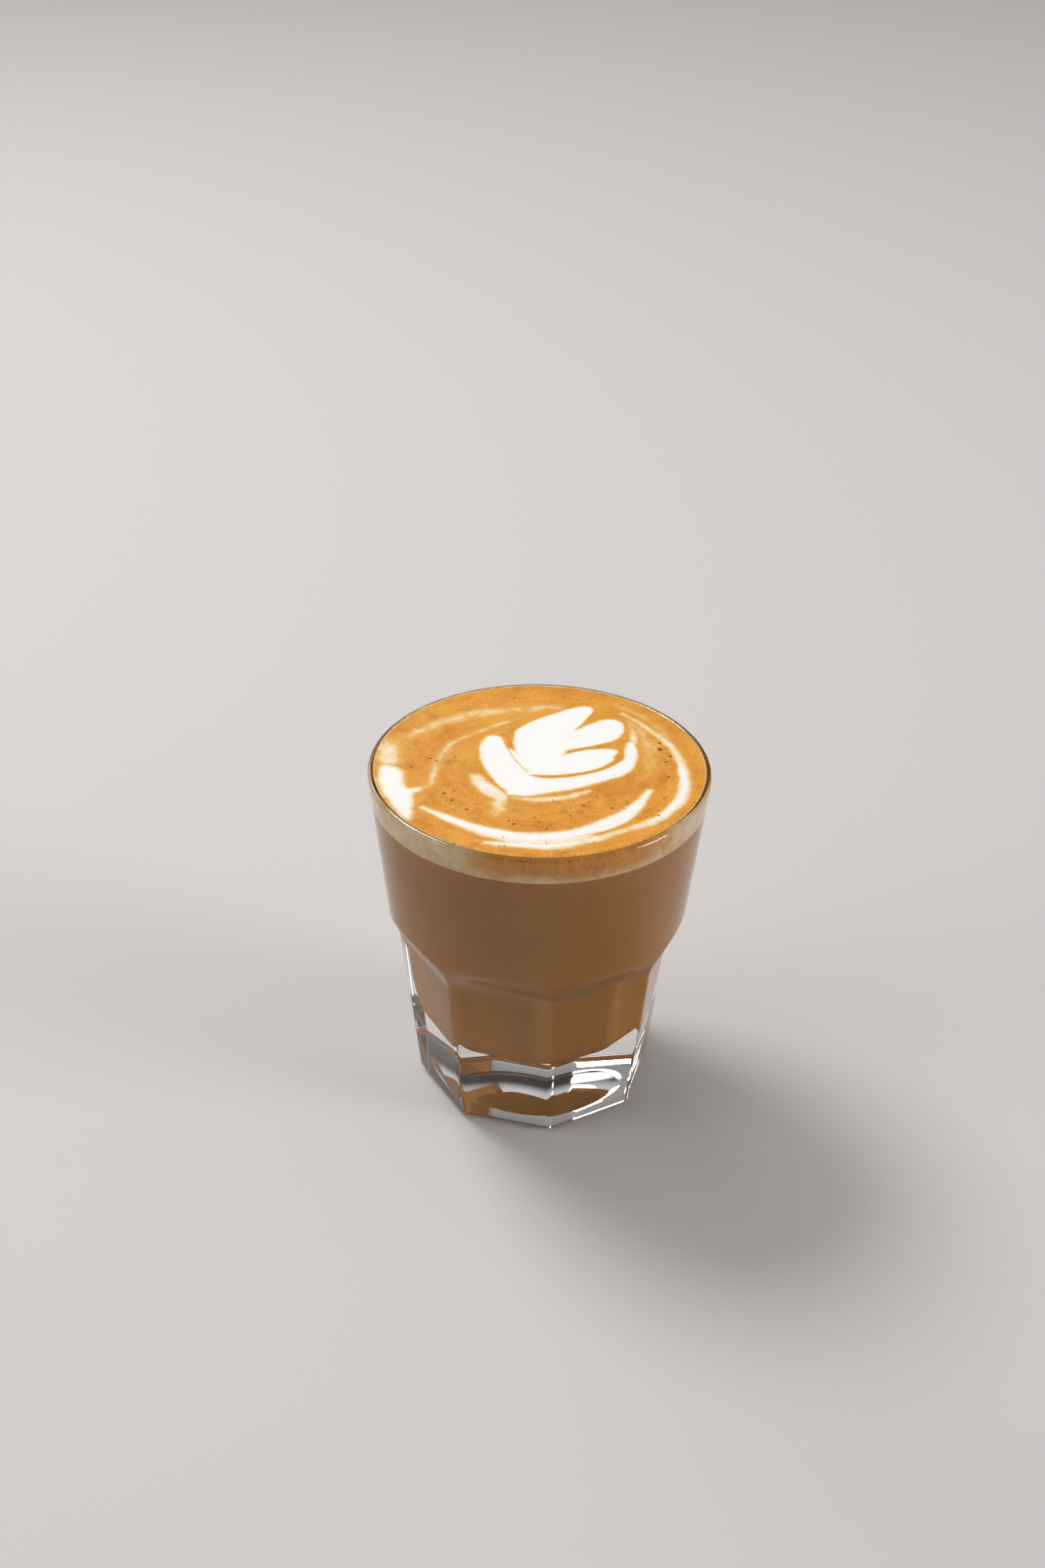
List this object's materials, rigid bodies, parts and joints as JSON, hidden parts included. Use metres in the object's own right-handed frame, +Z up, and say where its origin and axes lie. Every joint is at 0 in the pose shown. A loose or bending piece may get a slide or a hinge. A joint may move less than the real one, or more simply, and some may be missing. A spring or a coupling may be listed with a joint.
{
  "type": "cortado glass",
  "caption": "Clear panelled glass tumbler with a thick foot, filled with milky coffee, foam and a poured tulip on the crema; the foam cap floats and turns.",
  "frame": {"origin": "middle of the foot, on the surface that the glass stands on", "axes": "+Z up along the axis of the glass, -Y towards the viewer of the picture"},
  "size_m": [0.073, 0.073, 0.0788],
  "materials": {
    "clear_glass": "clear pressed glass, polished",
    "milky_coffee": "stands in for opaque milky coffee, wet",
    "pale_foam": "stands in for pale milk foam against the glass",
    "crema_foam": "stands in for fine orange-brown crema, satin",
    "milk_white": "stands in for white steamed milk, satin",
    "milk_tan": "stands in for milk stained by crema, satin",
    "ground_coffee": "dark specks of ground coffee",
    "bubble_film": "small wet bubbles at the rim"
  },
  "bodies": {
    "glass": {"tumbler": "clear_glass", "coffee": "milky_coffee"},
    "foam_cap": {"milk_foam": "pale_foam", "crema": "crema_foam", "tulip_crown": "milk_white", "tulip_middle": "milk_white", "tulip_lower": "milk_white", "tulip_left_leaf": "milk_white", "tulip_outer_leaf": "milk_white", "small_feather": "milk_white", "rim_patch": "milk_white", "front_swirl": "milk_white", "outer_swirl": "milk_white", "left_streak": "milk_tan", "back_streak": "milk_tan", "crema_specks": "ground_coffee", "rim_bubbles": "bubble_film"}
  },
  "joints": [
    {"name": "foam_turn", "type": "hinge", "parent": "glass", "child": "foam_cap", "pos_m": [0, 0, 0.072], "axis": [0, 0, 1], "continuous": true}
  ]
}
